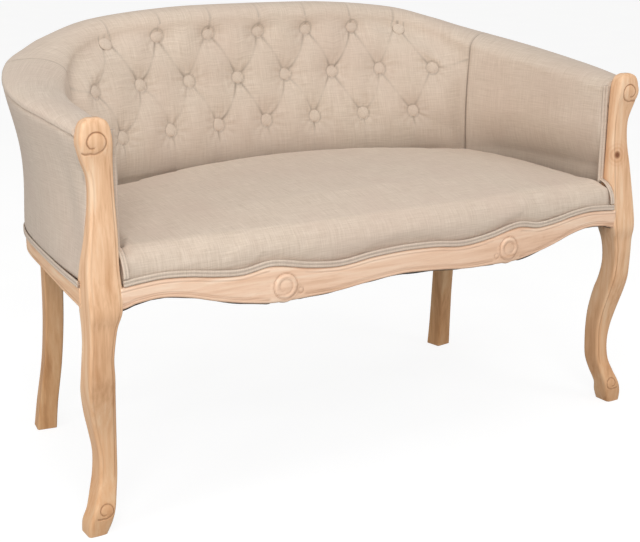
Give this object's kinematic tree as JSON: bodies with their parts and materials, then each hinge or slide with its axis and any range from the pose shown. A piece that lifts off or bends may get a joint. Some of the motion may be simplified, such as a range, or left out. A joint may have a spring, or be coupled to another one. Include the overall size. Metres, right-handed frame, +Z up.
{
  "type": "settee",
  "caption": "Small Louis XV style settee with a bleached wood show frame, cabriole front legs, a serpentine front rail, a deep-buttoned linen tub back and a tight linen seat",
  "frame": {"origin": "on the floor below the middle of the settee's bounding box", "axes": "+X to the right as seen from the front, +Y towards the back, +Z up; the seat opens towards -Y"},
  "size_m": [1.1918, 0.5915, 0.8094],
  "materials": {
    "show_wood": "bleached, waxed",
    "frame_wood": "raw",
    "jute": "woven webbing",
    "linen": "slubby linen weave",
    "linen_cord": "linen covered double cord",
    "dust_cloth": "thin black cloth"
  },
  "bodies": {
    "root": {"front_post_left": "show_wood", "front_post_right": "show_wood", "front_rail": "show_wood", "rear_leg_left": "show_wood", "rear_leg_right": "show_wood", "side_rail_left": "show_wood", "side_rail_right": "show_wood", "back_rail": "show_wood", "arm_top_rail_left": "frame_wood", "arm_top_rail_right": "frame_wood", "crest_rail": "frame_wood", "back_upright_left": "frame_wood", "back_upright_right": "frame_wood", "corner_blocks": "frame_wood", "dowels": "frame_wood", "lengthwise_webbing": "jute", "crosswise_webbing": "jute", "back_webbing": "jute", "arm_webbing": "jute", "platform_hessian": "jute", "seat_pad": "linen", "inside_back_pad": "linen", "inside_arm_pad_left": "linen", "inside_arm_pad_right": "linen", "back_roll": "linen", "arm_roll_left": "linen", "arm_roll_right": "linen", "outside_arm_panel_left": "linen", "outside_arm_panel_right": "linen", "outside_back_panel": "linen", "back_buttons": "linen", "outside_arm_welt_left": "linen_cord", "outside_arm_welt_right": "linen_cord", "outside_back_welt": "linen_cord", "post_welt_left": "linen_cord", "post_welt_right": "linen_cord", "seat_corner_welt_left": "linen_cord", "seat_corner_welt_right": "linen_cord", "front_rail_welt": "linen_cord", "dust_cover": "dust_cloth"}
  },
  "joints": []
}
